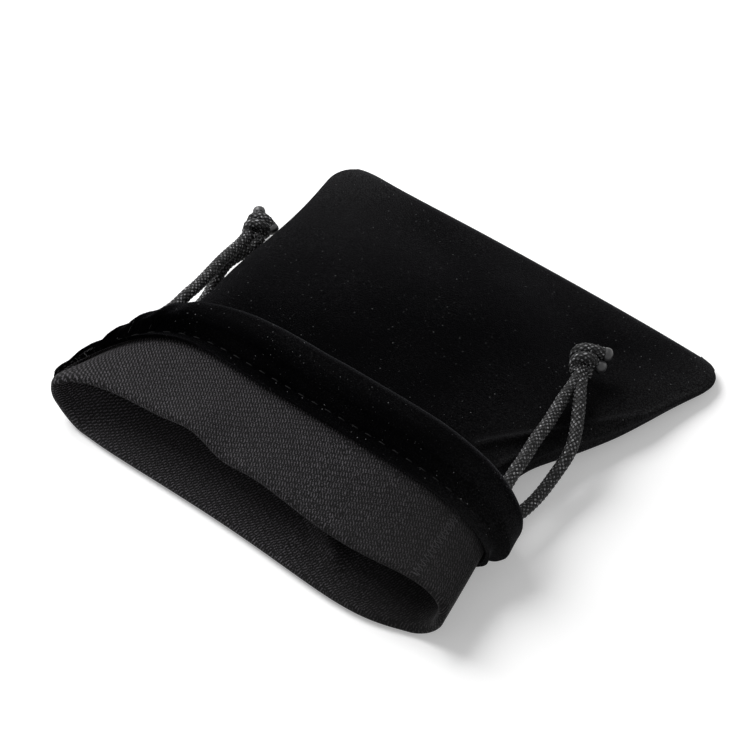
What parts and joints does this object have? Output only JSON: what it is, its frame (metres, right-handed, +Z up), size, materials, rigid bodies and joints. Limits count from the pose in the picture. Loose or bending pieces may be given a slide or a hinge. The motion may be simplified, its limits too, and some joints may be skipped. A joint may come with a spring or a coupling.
{
  "type": "drawstring pouch",
  "caption": "Small velvet drawstring pouch lying on its back with its mouth turned out as a cuff; two knotted cords leave its hem at the side seams to draw it shut.",
  "frame": {"origin": "on the surface the pouch lies on, under the middle of the cloth's box", "axes": "+Z up from the surface, +Y from the mouth towards the sewn far edge, +X across the pouch"},
  "size_m": [0.1048, 0.0932, 0.0209],
  "materials": {
    "velvet": "matte",
    "cord": "satin"
  },
  "bodies": {
    "bag_back": {"back_panel": "velvet", "left_cord_back_run": "cord", "right_cord_back_run": "cord"},
    "bag_front": {"front_panel": "velvet", "left_cord_front_run": "cord", "right_cord_front_run": "cord"},
    "left_strands": {"left_upper_strand": "cord", "left_lower_strand": "cord"},
    "right_strands": {"right_upper_strand": "cord", "right_lower_strand": "cord"},
    "left_pull": {"left_knot": "cord"},
    "right_pull": {"right_knot": "cord"}
  },
  "joints": [
    {"name": "mouth_open", "type": "hinge", "parent": "bag_back", "child": "bag_front", "pos_m": [0, 0.0466, 0.002], "axis": [-1, 0, 0], "range_deg": [0, 12]},
    {"name": "left_swing", "type": "hinge", "parent": "bag_front", "child": "left_strands", "pos_m": [-0.04483, -0.02775, 0.0089], "axis": [0, 0, 1], "range_deg": [0, 75]},
    {"name": "right_swing", "type": "hinge", "parent": "bag_front", "child": "right_strands", "pos_m": [0.04214, -0.01375, 0.00875], "axis": [0, 0, -1], "range_deg": [0, 45]},
    {"name": "left_draw", "type": "slide", "parent": "left_strands", "child": "left_pull", "axis": [-0.2663, 0.9639, 0], "range_m": [0, 0.04], "deforming": ["left_upper_strand", "left_lower_strand"]},
    {"name": "right_draw", "type": "slide", "parent": "right_strands", "child": "right_pull", "axis": [-0.3896, 0.921, 0], "range_m": [0, 0.04], "deforming": ["right_upper_strand", "right_lower_strand"]}
  ]
}
